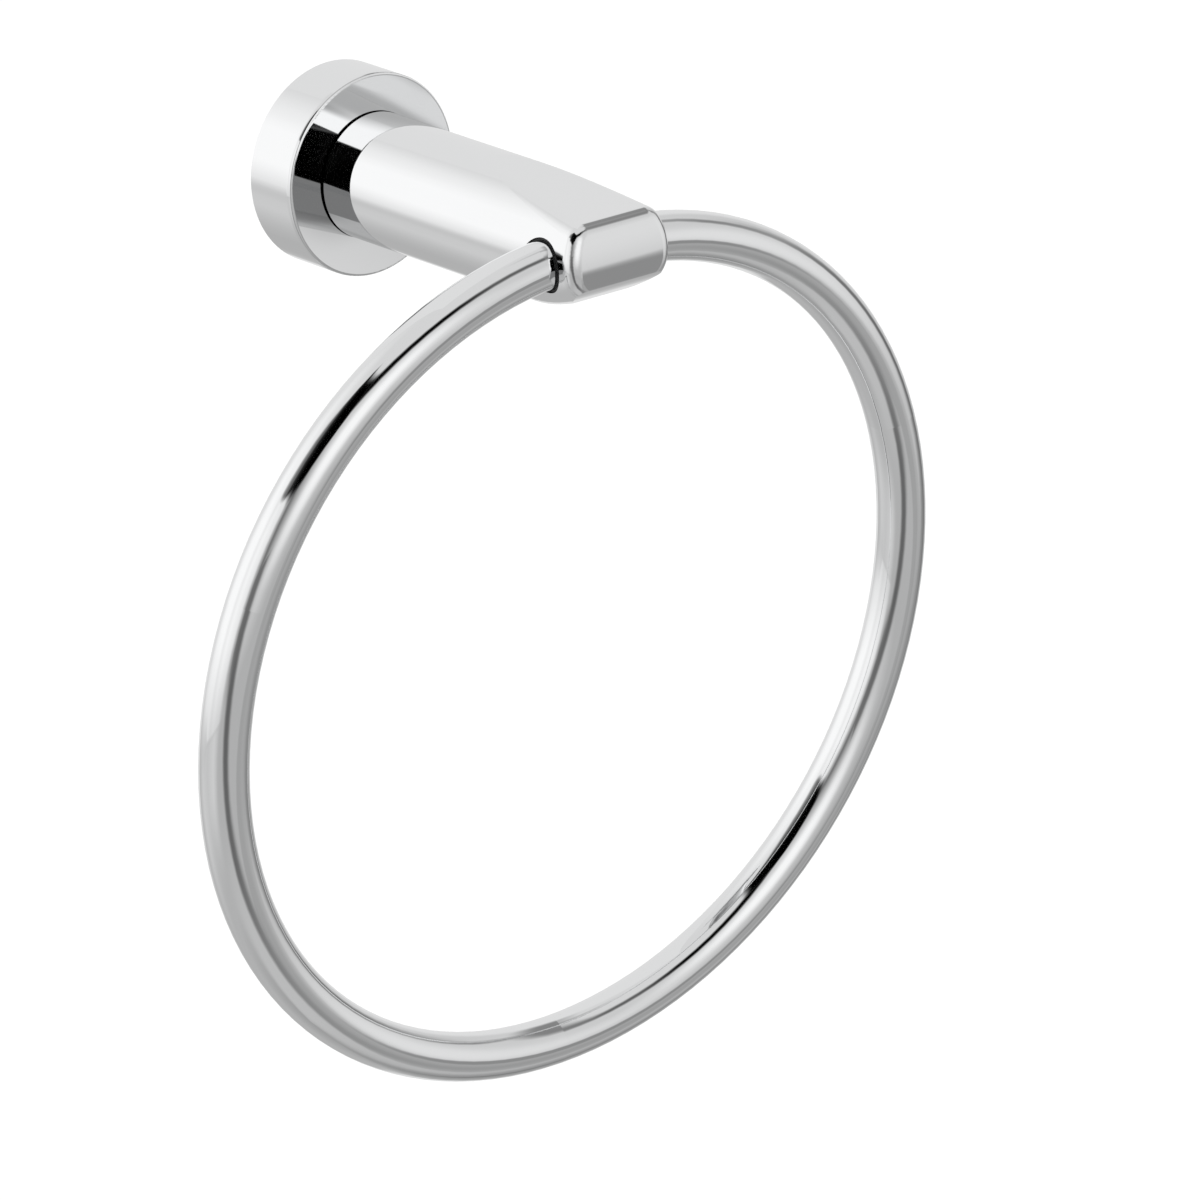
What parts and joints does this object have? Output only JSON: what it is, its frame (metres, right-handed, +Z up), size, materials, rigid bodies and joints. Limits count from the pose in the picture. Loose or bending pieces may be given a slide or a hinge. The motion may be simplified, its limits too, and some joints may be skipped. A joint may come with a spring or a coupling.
{
  "type": "towel ring",
  "caption": "Wall-mounted towel ring in polished chrome: round flange, round post with a chisel nose, and a hoop that swings in the nose.",
  "frame": {"origin": "centre of the flange's back, on the wall", "axes": "+Y into the wall, so the object stands off towards -Y; +Z up; +X to the right of someone facing the wall"},
  "size_m": [0.178, 0.0861, 0.1897],
  "materials": {
    "chrome": "polished chrome plate",
    "zinc": "plain zinc-plated steel",
    "nylon": "black moulded nylon"
  },
  "bodies": {
    "bracket": {"wall_plate": "zinc", "flange": "chrome", "set_screw": "zinc", "post": "chrome", "clamp_screw": "zinc", "lock_washer": "zinc", "clamp_washer": "zinc", "left_bush": "nylon", "right_bush": "nylon"},
    "ring": {"hoop": "chrome"}
  },
  "joints": [
    {"name": "ring_swing", "type": "hinge", "parent": "bracket", "child": "ring", "pos_m": [0, -0.077, -0.0006], "axis": [1, 0, 0], "range_deg": [-208, 18]}
  ]
}
